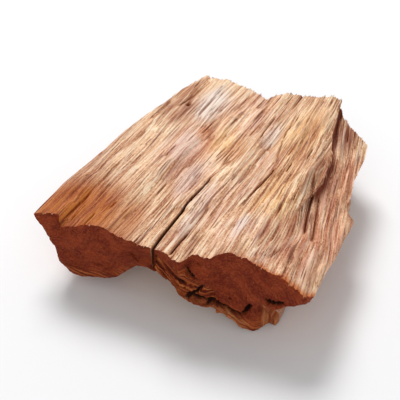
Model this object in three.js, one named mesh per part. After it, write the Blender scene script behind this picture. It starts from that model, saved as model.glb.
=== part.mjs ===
// A hand-sized chunk of Indian kino heartwood, hacked from a log: one piece of wood with split faces that
// follow the fibres, two rough cross-cut ends, a deep drying crack that opens at the front end, and a thin
// flank on the right where the upper sheet of fibres has come away and left a ledge.
//
// Millimetres, +Z up. +Y runs along the fibres from the cut front end to the back end, +X across them to the
// right. The chunk lies on the two flattened lobes of its underside, and the origin is at the bottom centre of
// its bounding box.

import * as THREE from 'three';

// Lines that the fibres follow from front to back, as [y, x] pairs: they fan in towards the back
const LEFT_EDGE = [[-48, -51.7], [-28, -50.7], [10, -44.5], [42, -36]];
const CRACK_LINE = [[-50, -4.9], [-40, -4.9], [-28, -4.3], [-20, -4], [-8, -2.3], [3, 0.5], [20, 1.2],
  [45, 0.5]];
const LEDGE_LINE = [[-48, 34], [-16, 31], [1, 32], [12, 33], [23, 31], [36, 26], [53, 22.5]];
const RIGHT_EDGE = [[-45, 52.1], [-20, 51.3], [0, 49.5], [4, 46.3], [15, 42.8], [27, 41], [38, 38.5],
  [50, 35.5]];

// Outlines of the two ends seen from above, as [x, y] pairs
const FRONT_END = [[-52, -48], [-43, -46], [-40, -49], [-26, -46.5], [-11, -47.3], [-4, -48], [6.5, -51.2],
  [8, -46.8], [16, -46.8], [18, -44.4], [28, -43], [39, -44], [49.5, -44], [52.5, -40]];
const BACK_END = [[-36, 42], [-31.5, 49], [-28.5, 47.4], [-18.5, 47.1], [-13.7, 46.5], [-9.5, 45.3], [-3.7, 42.8],
  [-1.3, 46.5], [5, 49], [14, 51.7], [24.3, 53.8], [25.5, 50], [36, 46]];

// Heights of the upper face at the two ends, as [x, z] pairs
const FRONT_CROWN = [[-52, 27], [-42, 29.5], [-39.5, 27.2], [-31, 30], [-23, 29.8], [-20, 29.1], [-15, 29],
  [-10, 29.4], [-4, 30], [1, 31], [4, 31], [6.5, 30.6], [7.8, 30], [9, 31.4], [12, 32.8], [16, 32.8],
  [18.5, 34.6], [22.5, 36.1], [27, 34.6], [31, 34.1], [36.5, 33.1], [40.5, 33.1], [44, 31.1], [48, 29],
  [52, 26]];
const BACK_CROWN = [[-36, 26], [-27, 29], [-11, 30], [7, 31.5], [22, 31.5], [36, 28]];
const CROWN_FADE = 0.5; // share of the length over which the front crown turns into the back one

// Heights of the underside at the two ends, as [x, z] pairs: two lobes with an arch between them
const FRONT_BELLY = [[-44, 2], [-40, 4.5], [-28, 5.5], [-24, 6.3], [-20, 9], [-16, 13.7], [-12, 18],
  [-7, 20.6], [-3, 20.6], [0, 19.2], [5, 17.4], [8, 14.5], [12, 12.2], [16, 9.5], [18, 6.5], [24, 5],
  [28, 2.5], [31, 2], [42, 3.5]];
const BACK_BELLY = [[-27, 4], [-22, 0.4], [-19, -0.7], [-16, -0.7], [-13, 1], [-8, 3.5], [-2, 6], [4, 4.5],
  [9, 2], [13, -0.7], [16.5, -0.7], [20, 1.2], [27, 5]];
const BELLY_FADE = 0.42;

// How far in each side is at a level of the thickness, as [level, inset] pairs: the flank overhangs in front
const LEFT_INSET = [[0, 12.5], [0.15, 9.5], [0.3, 8.4], [0.57, 7], [0.72, 5], [0.86, 2.4], [1, 0]];
const RIGHT_INSET_FRONT = [[0, 13.5], [0.14, 14], [0.29, 17], [0.43, 16], [0.57, 12.2], [0.71, 3.4],
  [0.86, 1.2], [1, 0]];
const RIGHT_INSET_BACK = [[0, 11], [0.3, 8], [0.57, 6], [0.8, 3.6], [1, 0]];

// The drying crack, with the wood left under it, and the ledge with the flank beyond it
const CRACK_MOUTH = 1.6;
const CRACK_NARROWS_Y = -25;
const CRACK_TIP_Y = -3;
const CRACK_TIP_WIDTH = 0.4;
const LEAST_WEB = 1;
const LEDGE_DROP = [[-30, 0], [-14, 2], [5, 4.2], [25, 3.8], [53, 4.6]];
const LEDGE_FACE = 0.9; // how far across the step down takes
const FLANK_SLOPE = 0.24;

// A sliver that hangs on under the front end with a crevice above it, and the chip off the corner beside it
const HANGING_SLIVER = { from: 9, to: 29, reach: 1.6, crevice: 2.8 };
const CORNER_CHIP = { from: 34, to: 43, depth: 7 };

// Furrows along the fibres. Band 0 is left of the crack, band 1 up to the ledge, band 2 the flank.
// The place is a share of the band's breadth at each end, and half is half the width in columns.
const FURROWS = [
  { band: 0, from: 0.36, to: 0.29, start: 19, end: 46, half: 1.1, depth: 1.2 },
  { band: 1, from: 0.235, to: 0.235, start: -58, end: -31, half: 1.1, depth: 3.6 },
  { band: 1, from: 0.49, to: 0.49, start: -25, end: 9, half: 1.1, depth: 2.0 },
  { band: 1, from: 0.125, to: 0.125, start: 15, end: 38, half: 1.1, depth: 1.5 },
  { band: 2, from: 0.52, to: 0.1, start: -26, end: 4, half: 1.7, depth: 2.0 },
  { band: 2, from: 0.75, to: 0.36, start: -38, end: 12, half: 1.7, depth: 2.2 },
];

// A small knot pit near the back end
const PIT = { x: -28, y: 27, radius: 3, depth: 2.2 };

// Grid of the faces: columns in each band across the fibres, rows along them, levels up the thickness
const BAND_COLUMNS = [34, 28, 13];
const ROWS = 22;
const LEVELS = 7;

// Slivers of split wood that lie along the fibres: most are narrow, and the widest spans this many lines
const UPPER_SLIVERS = { seed: 7, count: 105, widest: 7, low: 0.4, high: 1.2 };
const LOWER_SLIVERS = { seed: 23, count: 85, widest: 7, low: 0.6, high: 1.9 };
const LEFT_SLIVERS = { seed: 41, count: 12, widest: 3, low: 1.2, high: 3 };
const RIGHT_SLIVERS = { seed: 59, count: 12, widest: 3, low: 1.2, high: 3 };
const SLIVER_LEVEL = 0.8; // average height of the slivers, taken off again

const lerp = THREE.MathUtils.lerp;
const smooth = THREE.MathUtils.smoothstep;
const clamp = THREE.MathUtils.clamp;

// Value of the broken line through [position, value] pairs
function line(points, position) {
  let last = points[0];
  for (const next of points) {
    if (position <= next[0]) {
      const share = (position - last[0]) / Math.max(next[0] - last[0], 1e-9);
      return lerp(last[1], next[1], clamp(share, 0, 1));
    }
    last = next;
  }
  return last[1];
}

// A repeatable series of numbers between 0 and 1
function series(seed) {
  let state = seed * 7919;
  return () => {
    state = (state * 16807) % 2147483647;
    return state / 2147483647;
  };
}

// All columns from left to right. The crack and the ledge have a column on either side of them, and the
// crack has one more for its bottom.
function makeColumns() {
  const columns = [];
  BAND_COLUMNS.forEach((count, band) => {
    for (let i = 0; i <= count; i += 1) {
      columns.push({ band, share: i / count });
    }
    if (band === 0) {
      columns.push({ band, share: 1, crackBottom: true });
    }
  });
  return columns;
}

const columns = makeColumns();

// How far open the crack is, from 1 at the front end to 0 at its tip
function crackOpening(y) {
  return 1 - smooth(y, CRACK_NARROWS_Y, CRACK_TIP_Y);
}

// Place across the fibres of a column
function across(column, y) {
  const crackHalf = Math.max(CRACK_TIP_WIDTH, CRACK_MOUTH * crackOpening(y)) / 2;
  const crack = line(CRACK_LINE, y);
  const ledge = line(LEDGE_LINE, y);
  if (column.crackBottom) {
    return crack;
  }
  const bands = [
    [line(LEFT_EDGE, y), crack - crackHalf],
    [crack + crackHalf, ledge],
    [ledge + LEDGE_FACE, line(RIGHT_EDGE, y)],
  ];
  return lerp(...bands[column.band], column.share);
}

// Slivers lie along the grid lines of a face; each tapers at one end and is torn off short at the other
function makeSlivers({ seed, count, widest, low, high }, lines) {
  const next = series(seed);
  const slivers = [];
  for (let n = 0; n < count; n += 1) {
    const width = 2 + Math.floor((widest - 1) * next() ** 1.6);
    slivers.push({
      width,
      first: Math.floor(next() * (lines - width)),
      start: Math.round(ROWS * (1.3 * next() - 0.3)),
      length: 5 + Math.floor(12 * next()),
      rise: lerp(low, high, next()),
      tornAtBack: next() < 0.5,
    });
  }
  return slivers;
}

function sliverHeight(slivers, i, j) {
  let height = -SLIVER_LEVEL;
  for (const sliver of slivers) {
    const side = (i - sliver.first) / sliver.width;
    const share = (j - sliver.start) / sliver.length;
    if (side > 0 && side < 1 && share >= 0 && share <= 1) {
      const fromTip = sliver.tornAtBack ? share : 1 - share;
      height += sliver.rise * Math.sin(Math.PI * side) * smooth(fromTip, 0, 0.6);
    }
  }
  return height;
}

const upperSlivers = makeSlivers(UPPER_SLIVERS, columns.length);
const lowerSlivers = makeSlivers(LOWER_SLIVERS, columns.length);
const leftSlivers = makeSlivers(LEFT_SLIVERS, LEVELS);
const rightSlivers = makeSlivers(RIGHT_SLIVERS, LEVELS);

function furrowDepth(furrow, column, y) {
  const along = (y - furrow.start) / (furrow.end - furrow.start);
  if (furrow.band !== column.band || along <= 0 || along >= 1) {
    return 0;
  }
  const offset = (column.share - lerp(furrow.from, furrow.to, along)) * BAND_COLUMNS[furrow.band];
  const side = 1 - Math.min(1, Math.abs(offset) / furrow.half);
  return furrow.depth * side * smooth(along, 0, 0.15) * (1 - smooth(along, 0.5, 1));
}

// Profiles of both ends, blended along the fibres, for a column at the top or the bottom of the ends
function blend(front, back, column, v, fade, k) {
  const frontHeight = line(front, across(column, -46) + sideShift(column, 0, k));
  const backHeight = line(back, across(column, 46) + sideShift(column, ROWS, k));
  return lerp(frontHeight, backHeight, smooth(v, 0, fade));
}

function upperFace(i, j, x, y) {
  const column = columns[i];
  const v = j / ROWS;
  let height = blend(FRONT_CROWN, BACK_CROWN, column, v, CROWN_FADE, LEVELS);
  height += sliverHeight(upperSlivers, i, j) * lerp(0.4, 1, smooth(v, 0, 0.15));
  for (const furrow of FURROWS) {
    height -= furrowDepth(furrow, column, y);
  }
  if (column.band === 2) {
    const beyond = x - line(LEDGE_LINE, y);
    height -= line(LEDGE_DROP, y) + FLANK_SLOPE * beyond * smooth(y, -30, -12);
  }
  const fromPit = Math.hypot(x - PIT.x, y - PIT.y) / PIT.radius;
  return height - PIT.depth * (1 - smooth(fromPit, 0.3, 1));
}

function underside(i, j) {
  const v = j / ROWS;
  const belly = blend(FRONT_BELLY, BACK_BELLY, columns[i], v, BELLY_FADE, 0);
  const relief = sliverHeight(lowerSlivers, i, j) * lerp(0.4, 1, smooth(v, 0, 0.15));
  return Math.max(0, belly - relief * smooth(belly, 0, 3));
}

// The front end is rough: the hanging sliver reaches forward, and the crevice above it goes back
function frontEnd(x, level) {
  const { from, to, reach, crevice } = HANGING_SLIVER;
  const onSliver = smooth(x, from, from + 3) * (1 - smooth(x, to - 4, to));
  const lip = -reach * (1 - smooth(level, 0.05, 0.16));
  const gap = crevice * smooth(level, 0.08, 0.17) * (1 - smooth(level, 0.17, 0.45));
  const chip = CORNER_CHIP.depth * smooth(x, CORNER_CHIP.from, CORNER_CHIP.to) * (1 - smooth(level, 0.2, 0.62));
  const rough = 0.5 * Math.sin(0.22 * x + 5 * level) + 0.4 * Math.sin(11 * level + 0.4 * x);
  return line(FRONT_END, x) + onSliver * (lip + gap) + chip + rough * (1 - level);
}

function backEnd(x, level) {
  const rough = 0.9 * Math.sin(0.3 * x + 7 * level) + 0.6 * Math.sin(0.6 * x - 9 * level);
  return line(BACK_END, x) - 2.5 * (1 - level) ** 2 + rough * (1 - level);
}

// How far the two sides push the columns across at a level, fading out towards the crack
function sideShift(column, j, k) {
  const v = j / ROWS;
  const level = k / LEVELS;
  const open = Math.min(1, 3 * (1 - level));
  if (column.band === 0) {
    const inset = line(LEFT_INSET, level) - sliverHeight(leftSlivers, k, j) * open;
    return Math.max(0, inset) * (1 - column.share) ** 2;
  }
  const spread = smooth(v, 0.2, 0.8);
  const inset = lerp(line(RIGHT_INSET_FRONT, level), line(RIGHT_INSET_BACK, level), spread);
  const place = (column.band - 1 + column.share) / 2;
  return Math.min(0, sliverHeight(rightSlivers, k, j) * open - inset) * place ** 2;
}

// One point of the chunk: column, row and level of the grid
function point(i, j, k) {
  const column = columns[i];
  const v = j / ROWS;
  const level = k / LEVELS;
  const y = lerp(frontEnd(across(column, -46), level), backEnd(across(column, 46), level), v);
  const x = across(column, y);
  const bottom = underside(i, j);
  let top = upperFace(i, j, x, y);
  if (column.crackBottom) {
    const depth = lerp(5, top - bottom - LEAST_WEB, crackOpening(y));
    top -= Math.min(depth, top - bottom - LEAST_WEB) * (1 - smooth(y, CRACK_TIP_Y, CRACK_TIP_Y + 4));
  }
  return new THREE.Vector3(x + sideShift(column, j, k), y, lerp(bottom, top, level));
}

// The six faces of a box grid, each point made once, so that the surface is closed. Each cell is split along
// the diagonal that changes least in height, which keeps ridges and furrows whole.
function chunkGeometry() {
  const size = [columns.length - 1, ROWS, LEVELS];
  const points = [];
  const numbers = new Map();
  const numberOf = (at) => {
    const key = at.join();
    if (!numbers.has(key)) {
      numbers.set(key, points.length);
      points.push(point(...at));
    }
    return numbers.get(key);
  };
  const triangles = [];
  for (let axis = 0; axis < 3; axis += 1) {
    const first = (axis + 1) % 3;
    const second = (axis + 2) % 3;
    for (const end of [0, size[axis]]) {
      for (let a = 0; a < size[first]; a += 1) {
        for (let b = 0; b < size[second]; b += 1) {
          const quad = [[0, 0], [1, 0], [1, 1], [0, 1]].map(([da, db]) => {
            const at = [0, 0, 0];
            at[axis] = end;
            at[first] = a + da;
            at[second] = b + db;
            return numberOf(at);
          });
          if (end === 0) {
            quad.reverse();
          }
          const heights = quad.map((number) => points[number].getComponent(axis));
          if (Math.abs(heights[0] - heights[2]) > Math.abs(heights[1] - heights[3])) {
            quad.push(quad.shift());
          }
          triangles.push(quad[0], quad[1], quad[2], quad[0], quad[2], quad[3]);
        }
      }
    }
  }
  const geometry = new THREE.BufferGeometry().setFromPoints(points);
  geometry.setIndex(triangles);
  geometry.computeBoundingBox();
  const { min, max } = geometry.boundingBox;
  geometry.translate(-(min.x + max.x) / 2, -(min.y + max.y) / 2, -min.z);
  geometry.computeVertexNormals();
  return geometry;
}

const heartwood = new THREE.MeshStandardMaterial({ color: 0xb9764a, roughness: 0.85, metalness: 0 });
const chunk = new THREE.Mesh(chunkGeometry(), heartwood);
chunk.name = 'kino_wood_chunk';

const wood = new THREE.Group();
wood.add(chunk);

export default wood;
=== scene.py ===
# %% [markdown]
# # A chunk of Indian kino wood
#
# Indian kino is a hard reddish wood that is split into hand-sized chunks. Such a chunk is one piece of
# heartwood: split faces that follow the fibres, two rough ends, cracks from drying, and slivers that were
# torn loose when it was hacked from the log. There is nothing to assemble, so this lesson is about one
# surface: how to give it the shape of split wood, and how to make a material that knows where its fibres
# run.

# %% Open the frame
import math

import bpy
import numpy as np
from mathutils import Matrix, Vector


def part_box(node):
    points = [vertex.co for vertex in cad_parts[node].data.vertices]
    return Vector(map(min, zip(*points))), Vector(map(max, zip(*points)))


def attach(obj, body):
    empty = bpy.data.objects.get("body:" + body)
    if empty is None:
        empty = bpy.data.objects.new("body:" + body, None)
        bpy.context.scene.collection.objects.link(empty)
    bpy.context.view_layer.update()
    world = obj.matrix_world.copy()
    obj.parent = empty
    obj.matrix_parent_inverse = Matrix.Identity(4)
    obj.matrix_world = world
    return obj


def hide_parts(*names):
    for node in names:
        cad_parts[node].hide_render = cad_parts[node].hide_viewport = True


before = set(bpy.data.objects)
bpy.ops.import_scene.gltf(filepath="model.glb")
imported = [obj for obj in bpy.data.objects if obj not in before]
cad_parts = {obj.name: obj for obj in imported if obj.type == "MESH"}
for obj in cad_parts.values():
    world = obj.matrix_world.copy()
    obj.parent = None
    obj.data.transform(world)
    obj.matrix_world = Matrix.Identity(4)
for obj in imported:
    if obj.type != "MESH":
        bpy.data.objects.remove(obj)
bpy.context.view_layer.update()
chunk_low, chunk_high = (np.array(corner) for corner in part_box("kino_wood_chunk"))
MM = 0.001
print("chunk box in mm:", ((chunk_high - chunk_low) / MM).round(1))

# %% [markdown]
# ## The camera
#
# The camera comes first, because every later choice is judged through it. It looks at the chunk from the
# front right and from above, through a long lens, so the sides of the wood stay nearly parallel.

# %% A helper that puts an object in the scene
def add_object(name, data):
    made = bpy.data.objects.new(name, data)
    bpy.context.scene.collection.objects.link(made)
    return made


# %% Place the camera
CAMERA_AZIMUTH = math.radians(26)
CAMERA_ELEVATION = math.radians(42)
CAMERA_DISTANCE = 650 * MM
CAMERA_TARGET = np.array((-8.0, -6.0, 16.0)) * MM
SEEN_WIDTH = 144.2 * MM
SENSOR_WIDTH = 36.0
NEAREST_SEEN = 10 * MM

camera_data = bpy.data.cameras.new("camera")
camera_data.sensor_width = SENSOR_WIDTH
camera_data.lens = SENSOR_WIDTH * CAMERA_DISTANCE / SEEN_WIDTH
camera_data.clip_start = NEAREST_SEEN
camera = add_object("camera", camera_data)
level_reach = CAMERA_DISTANCE * math.cos(CAMERA_ELEVATION)
camera.location = (
    CAMERA_TARGET[0] + level_reach * math.sin(CAMERA_AZIMUTH),
    CAMERA_TARGET[1] - level_reach * math.cos(CAMERA_AZIMUTH),
    CAMERA_TARGET[2] + CAMERA_DISTANCE * math.sin(CAMERA_ELEVATION),
)
camera.rotation_euler = (math.pi / 2 - CAMERA_ELEVATION, 0, CAMERA_AZIMUTH)
bpy.context.scene.camera = camera
print("lens in mm:", round(camera_data.lens, 1))

# %% [markdown]
# ## The plan of the chunk
#
# Wood splits along its fibres, so the whole shape is laid out on them. The fibres run from front to back
# and fan in towards the back. Four lines carry the plan: the left edge, the drying crack, the ledge where
# the upper sheet of fibres ends, and the right edge. All sizes are millimetres.

# %% Lines along the fibres, as (y, x) pairs
LEFT_EDGE = [(-48, -51.7), (-28, -50.7), (10, -44.5), (42, -36)]
CRACK_LINE = [(-50, -4.9), (-40, -4.9), (-28, -4.3), (-20, -4), (-8, -2.3), (3, 0.5), (20, 1.2), (45, 0.5)]
LEDGE_LINE = [(-48, 34), (-16, 31), (1, 32), (12, 33), (23, 31), (36, 26), (53, 22.5)]
RIGHT_EDGE = [(-45, 52.1), (-21.3, 50.2), (-9.5, 48.8), (-2.6, 48.1), (3.8, 47.7), (6.4, 47.1), (7.2, 45),
              (10.5, 42.4), (15, 42.4), (22.5, 40.3), (38, 38.5), (50, 35.5)]

# %% Outlines of the cut front end and the torn back end, as (x, y) pairs
MIDDLE_FRONT = [(-11, -47.3), (-4, -48), (6.5, -51.2)]
RIGHT_FRONT = [(16, -46.8), (18, -44.4), (28, -43), (39, -44), (49.5, -44), (52.5, -40)]
FRONT_END = [(-52, -48), (-43, -46), (-40, -49), (-26, -46.5), *MIDDLE_FRONT, (8, -46.8), *RIGHT_FRONT]
LOWER_FRONT_END = [(-52, -47), (-40, -47.8), (-26, -46.9), *MIDDLE_FRONT, (10, -49.6), *RIGHT_FRONT]
BACK_END = [(-36, 42), (-31.5, 49), (-28.5, 47.4), (-18.5, 47.1), (-13.7, 46.5), (-9.5, 45.3), (-3.7, 42.8),
            (-1.3, 46.5), (5, 49), (14, 51.7), (24.3, 53.8), (25.5, 50), (36, 46)]
FRONT_Y = -46
BACK_Y = 46

# %% Heights of the upper face and the underside at both ends, as (x, z) pairs
FRONT_CROWN = [(-52, 27), (-42, 29.5), (-39.5, 27.2), (-31, 30), (-23, 29.8), (-20, 29.1), (-15, 29),
               (-10, 29.4), (-4, 30), (1, 31), (4, 31), (6.5, 30.6), (7.8, 30), (9, 31.4), (12, 32.8),
               (16, 32.8), (18.5, 34.6), (22.5, 36.1), (27, 34.6), (31, 34.1), (36.5, 33.1), (40.5, 33.1),
               (44, 31.1), (48, 29), (52, 26)]
BACK_CROWN = [(-36, 26), (-27, 29), (-11, 30), (7, 31.5), (22, 31.5), (36, 28)]
CROWN_FADE = 0.5
FRONT_BELLY = [(-44, 2), (-40, 4.5), (-28, 5.5), (-24, 6.3), (-20, 9), (-16, 13.7), (-12, 18), (-7, 20.6),
               (-3, 20.6), (0, 18.8), (5, 16.2), (8, 13.4), (12, 11.6), (16, 9.5), (18, 6.9), (24, 5.4),
               (28, 2.5), (31, 1.6), (38, 1), (42, 2.5)]
BACK_BELLY = [(-27, 4), (-22, 0.4), (-19, -0.7), (-16, -0.7), (-13, 1), (-8, 3.5), (-2, 6), (4, 4.5),
              (9, 2), (13, -0.7), (16.5, -0.7), (20, 1.2), (27, 5)]
BELLY_FADE = 0.42

# %% [markdown]
# ## A grid that follows the fibres
#
# The chunk is a box grid that has been bent: columns across the fibres, rows along them and levels up the
# thickness. Only the points on its six faces are kept, and each is made once, so the skin is closed. The
# solid has a coarse grid. This one has five times as many columns and over three times as many rows, for
# the fibres.
#
# The columns come in five groups, from left to right: the part left of the crack, the crack itself, the
# middle part, the short face of the ledge, and the thin flank.

# %% Helpers for shapes that are drawn as broken lines
def along(points, places):
    starts, values = zip(*points)
    return np.interp(places, starts, values)


def smooth(values, low, high):
    share = np.clip((values - low) / (high - low), 0, 1)
    return share * share * (3 - 2 * share)


def fade(values, low, high):
    return 1 - smooth(values, low, high)


def window(values, starts, full, fades, ends):
    return smooth(values, starts, full) * fade(values, fades, ends)


def between(low, high, share):
    return low + (high - low) * share


# %% Columns, rows and levels
SOLID_SPANS = {"left": 34, "crack": 2, "middle": 28, "ledge": 1, "flank": 13}
SHARE_THEIR_ENDS = ("crack", "ledge")
SOLID_ROWS = 22
SOLID_LEVELS = 7
FINER_ACROSS = 5
FINER_ALONG = 3.4
LOW_PART = 0.3
LOW_LEVELS = 18
HIGH_LEVELS = 20

groups = {}
for name, span in SOLID_SPANS.items():
    places = np.linspace(0, 1, span * FINER_ACROSS + 1)
    groups[name] = places[1:-1] if name in SHARE_THEIR_ENDS else places
share = np.concatenate(list(groups.values()))[:, None, None]
group = np.concatenate([[name] * len(places) for name, places in groups.items()])[:, None, None]
first_columns = np.cumsum([0, *SOLID_SPANS.values()])
column = sum((group == name) * (first + share * span)
             for (name, span), first in zip(SOLID_SPANS.items(), first_columns))
length_share = np.linspace(0, 1, round(SOLID_ROWS * FINER_ALONG))[None, :, None]
row = length_share * SOLID_ROWS
level = np.concatenate((np.linspace(0, LOW_PART, LOW_LEVELS + 1)[:-1],
                        np.linspace(LOW_PART, 1, HIGH_LEVELS + 1)))[None, None, :]
print("grid:", share.shape[0], "columns,", length_share.shape[1], "rows,", level.shape[2], "levels")

# %% Where a column lies across the fibres
CRACK_MOUTH = 1.5
CRACK_TIP_WIDTH = 0.35
CRACK_NARROWS_Y = -14
CRACK_TIP_Y = -3
LEDGE_DROP = [(-30, 0), (-14, 2), (5, 4.2), (25, 3.8), (53, 4.6)]
LEDGE_FACE = 0.9
GENTLE_FACE = 3
LEDGE_UNDERCUT = 0.15
LEDGE_STEEPENS = (-14, 2)


def crack_opening(y):
    return fade(y, CRACK_NARROWS_Y, CRACK_TIP_Y)


def across(y):
    crack_half = np.maximum(CRACK_TIP_WIDTH, CRACK_MOUTH * crack_opening(y)) / 2
    crack = along(CRACK_LINE, y)
    ledge = along(LEDGE_LINE, y)
    drop = along(LEDGE_DROP, y)
    gentle_run = LEDGE_FACE + GENTLE_FACE * smooth(drop, 0, 1)
    foot = ledge + between(-LEDGE_UNDERCUT * drop, gentle_run, fade(y, *LEDGE_STEEPENS))
    places = {
        "left": between(along(LEFT_EDGE, y), crack - crack_half, share),
        "crack": crack + crack_half * (2 * share - 1),
        "middle": between(crack + crack_half, ledge, share),
        "ledge": between(ledge, foot, share),
        "flank": between(foot, along(RIGHT_EDGE, y), share),
    }
    return sum((group == name) * place for name, place in places.items())


# %% [markdown]
# ## Slivers
#
# When wood is split, sheets and slivers of fibres tear off in steps. A sliver is a low rounded ridge that
# lies along the fibres, tapers at one end and is torn off short at the other. The big ones belong to the
# shape, so they come from the same short series of numbers as the solid's, and sit in the same places.

# %% A series of numbers between 0 and 1 that is the same each time
SERIES_START = 7919
SERIES_FACTOR = 16807
SERIES_PRIME = 2147483647


def number_series(seed):
    state = seed * SERIES_START
    while True:
        state = state * SERIES_FACTOR % SERIES_PRIME
        yield state / SERIES_PRIME


# %% Slivers of the solid, their widths in columns and their lengths in rows
UPPER_SLIVERS = dict(seed=7, count=105, widest=7, rises=(0.4, 1.2))
LOWER_SLIVERS = dict(seed=23, count=85, widest=7, rises=(0.6, 1.9))
LEFT_SLIVERS = dict(seed=41, count=12, widest=3, rises=(1.2, 3))
RIGHT_SLIVERS = dict(LEFT_SLIVERS, seed=59)
SLIVER_LEVEL = 0.8
NARROWEST = 2
NARROW_BIAS = 1.6
EARLY_START = 0.3
SHORTEST = 5
LONGER_BY = 12
SLIVER_TAPER = 0.6


def solid_slivers(lines, line, row, seed, count, widest, rises):
    series = number_series(seed)
    height = np.full(np.broadcast(line, row).shape, -SLIVER_LEVEL)
    for _ in range(count):
        width = NARROWEST + math.floor((widest - 1) * next(series) ** NARROW_BIAS)
        first = math.floor(next(series) * (lines - width))
        start = math.floor(SOLID_ROWS * ((1 + EARLY_START) * next(series) - EARLY_START) + 0.5)
        length = SHORTEST + math.floor(LONGER_BY * next(series))
        rise = between(*rises, next(series))
        torn_at_back = next(series) < 0.5
        side = (line - first) / width
        place = (row - start) / length
        inside = (side > 0) & (side < 1) & (place >= 0) & (place <= 1)
        from_tip = place if torn_at_back else 1 - place
        height += inside * rise * np.sin(np.pi * np.clip(side, 0, 1)) * smooth(from_tip, 0, SLIVER_TAPER)
    return height


on_faces = first_columns[-1] + 1, column[:, :, 0], row[:, :, 0]
on_sides = SOLID_LEVELS, level[0] * SOLID_LEVELS, row[0]
upper_slivers = solid_slivers(*on_faces, **UPPER_SLIVERS)
lower_slivers = solid_slivers(*on_faces, **LOWER_SLIVERS)
left_slivers = solid_slivers(*on_sides, **LEFT_SLIVERS)
right_slivers = solid_slivers(*on_sides, **RIGHT_SLIVERS)
print("sliver heights in mm:", upper_slivers.min().round(2), upper_slivers.max().round(2))

# %% How far each side leans in, as (share of the thickness, inset) pairs
LEFT_INSET = [(0, 12.5), (0.15, 9.5), (0.3, 8.4), (0.57, 7), (0.72, 5), (0.86, 2.4), (1, 0)]
RIGHT_INSET_FRONT = [(0, 13.5), (0.14, 14), (0.29, 17), (0.43, 16.5), (0.57, 14.5), (0.68, 9), (0.76, 3),
                     (0.86, 1.2), (1, 0)]
RIGHT_INSET_BACK = [(0, 11), (0.3, 8), (0.57, 6), (0.8, 3.6), (1, 0)]
RIGHT_INSET_CHANGES = (0.2, 0.8)
FREE_BELOW_TOP = 3
CALM_AT_FRONT = 0.3
CALM_REACH = 0.3

# %% How far the leaning sides push the columns
free = np.minimum(1, FREE_BELOW_TOP * (1 - level))
calm = between(CALM_AT_FRONT, 1, smooth(length_share, 0, CALM_REACH))
left_push = np.maximum(0, along(LEFT_INSET, level) - left_slivers[None] * free * calm)
right_inset = between(along(RIGHT_INSET_FRONT, level), along(RIGHT_INSET_BACK, level),
                      smooth(length_share, *RIGHT_INSET_CHANGES))
right_push = np.minimum(0, right_slivers[None] * free - right_inset)
right_place = np.select([group == "middle", group == "ledge", group == "flank"],
                        [share / 2, np.full_like(share, 0.5), (1 + share) / 2], 0)
left_place = np.where(group == "left", 1 - share, 0)
shift = left_push * left_place ** 2 + right_push * right_place ** 2
print("widest side shift in mm:", np.abs(shift).max().round(1))

# %% [markdown]
# ## Fine fibres
#
# Between the big slivers a split face is a bundle of long flat strips, from half a millimetre to several
# millimetres wide, that lie at slightly different heights. They are laid down in layers, broad plates
# first and single fibres last. Each layer keeps the highest strip at a place, which gives flat backs and
# sharp steps. Then short clefts are cut between the strips.
#
# The fibres don't run exactly along the columns. Left of the crack they are parallel, right of it they fan
# in towards the back, and beyond the ledge they lean to the left and run in under it. Everywhere they
# waver a little. So each point gets grain coordinates: its place across the fibres, along them, and up.

# %% A soft random pattern
TABLE_SIZE = 256


def pattern(side, place, width, length, seed):
    table = np.random.default_rng(seed).uniform(-1, 1, (TABLE_SIZE, TABLE_SIZE))
    side = side / width
    place = place / length
    i = np.floor(side).astype(int)
    j = np.floor(place).astype(int)
    a = smooth(side - i, 0, 1)
    b = smooth(place - j, 0, 1)
    i, next_i, j, next_j = (index % TABLE_SIZE for index in (i, i + 1, j, j + 1))
    near = between(table[i, j], table[next_i, j], a)
    far = between(table[i, next_j], table[next_i, next_j], a)
    return between(near, far, b)


# %% Grain coordinates of the upper face and the underside
FLANK_LEAN = 0.27
FLANK_OFFSET = 3
FLANK_LEANS_FROM = (-30, -6)
PARALLEL_LEAN = 0.09
FAN = {"x": -0.9, "width": 33, "narrowing": 0.2}
WAVER = 0.4
FINE_WAVER = 0.12


def grain_across(x, y):
    flank = (group == "flank") | (group == "ledge")
    parallel = x - PARALLEL_LEAN * y
    fan = (parallel - FAN["x"]) / (FAN["width"] - FAN["narrowing"] * y)
    fan_side = FAN["x"] + FAN["width"] * fan
    flank_side = between(fan_side, x + FLANK_LEAN * y + FLANK_OFFSET, smooth(y, *FLANK_LEANS_FROM))
    side = np.select([flank, fan > 0], [flank_side, fan_side], parallel)
    return (side + WAVER * pattern(side, y, width=14, length=24, seed=3)
            + FINE_WAVER * pattern(side, y, width=4, length=10, seed=4))


# %% Lay strips side by side, and keep the highest
def lay_strips(side, place, seed, count, widths, lengths, rises, taper, flatness):
    chance = np.random.default_rng(seed)
    surface = np.zeros_like(side)
    for _ in range(count):
        width = between(*widths, chance.random() ** 2)
        length = between(*lengths, chance.random())
        rise = between(*rises, chance.random())
        middle = between(side.min(), side.max(), chance.random())
        start = between(place.min() - length, place.max(), chance.random())
        torn_at_back = chance.random() < 0.5
        near = (np.abs(side - middle) < width / 2) & (place > start) & (place < start + length)
        if not near.any():
            continue
        off_middle = (side[near] - middle) / (width / 2)
        share_along = (place[near] - start) / length
        from_tip = share_along if torn_at_back else 1 - share_along
        back = (1 - np.abs(off_middle) ** flatness) * smooth(from_tip, 0, taper)
        surface[near] = np.maximum(surface[near], rise * back)
    return surface


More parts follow.
